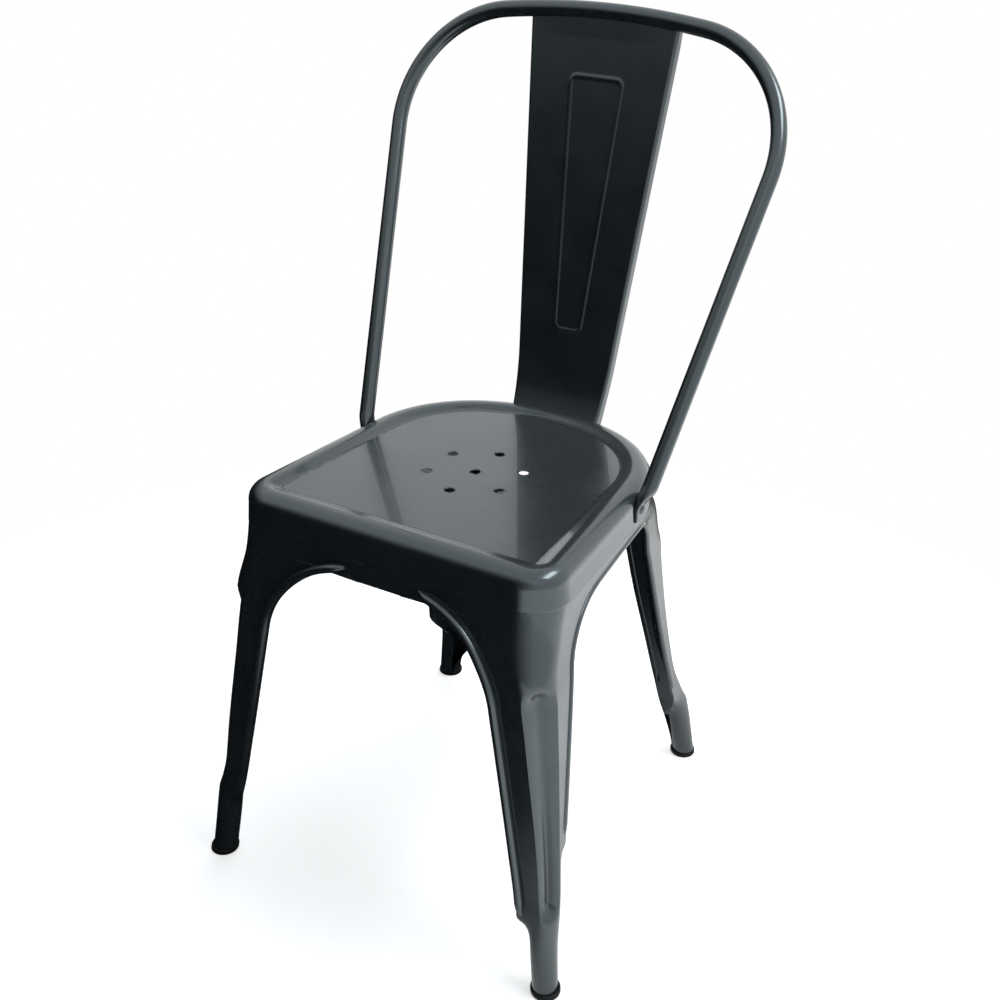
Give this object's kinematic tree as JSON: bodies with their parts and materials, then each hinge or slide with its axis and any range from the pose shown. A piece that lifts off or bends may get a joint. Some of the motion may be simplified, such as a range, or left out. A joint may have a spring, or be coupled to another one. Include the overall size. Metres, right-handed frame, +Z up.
{
  "type": "metal bistro chair",
  "caption": "Stacking side chair of pressed sheet steel: recessed seat pan with drain holes, fluted splayed legs, bent-tube back hoop and a tapered back splat.",
  "frame": {"origin": "on the floor, in the middle of the bounding box's base", "axes": "+X to the sitter's left hand side when facing the front (-Y), +Y to the back, +Z up"},
  "size_m": [0.447, 0.4749, 0.8569],
  "materials": {
    "painted_steel": "glossy dark grey metallic paint",
    "black_rubber": "plain black rubber"
  },
  "bodies": {
    "root": {"seat_pan": "painted_steel", "front_left_leg": "painted_steel", "front_right_leg": "painted_steel", "rear_left_leg": "painted_steel", "rear_right_leg": "painted_steel", "back_hoop": "painted_steel", "back_splat": "painted_steel", "left_hoop_rivet": "painted_steel", "right_hoop_rivet": "painted_steel", "upper_cross_brace": "painted_steel", "lower_cross_brace": "painted_steel", "cross_brace_rivet": "painted_steel", "front_left_foot_cap": "black_rubber", "front_right_foot_cap": "black_rubber", "rear_left_foot_cap": "black_rubber", "rear_right_foot_cap": "black_rubber"}
  },
  "joints": []
}
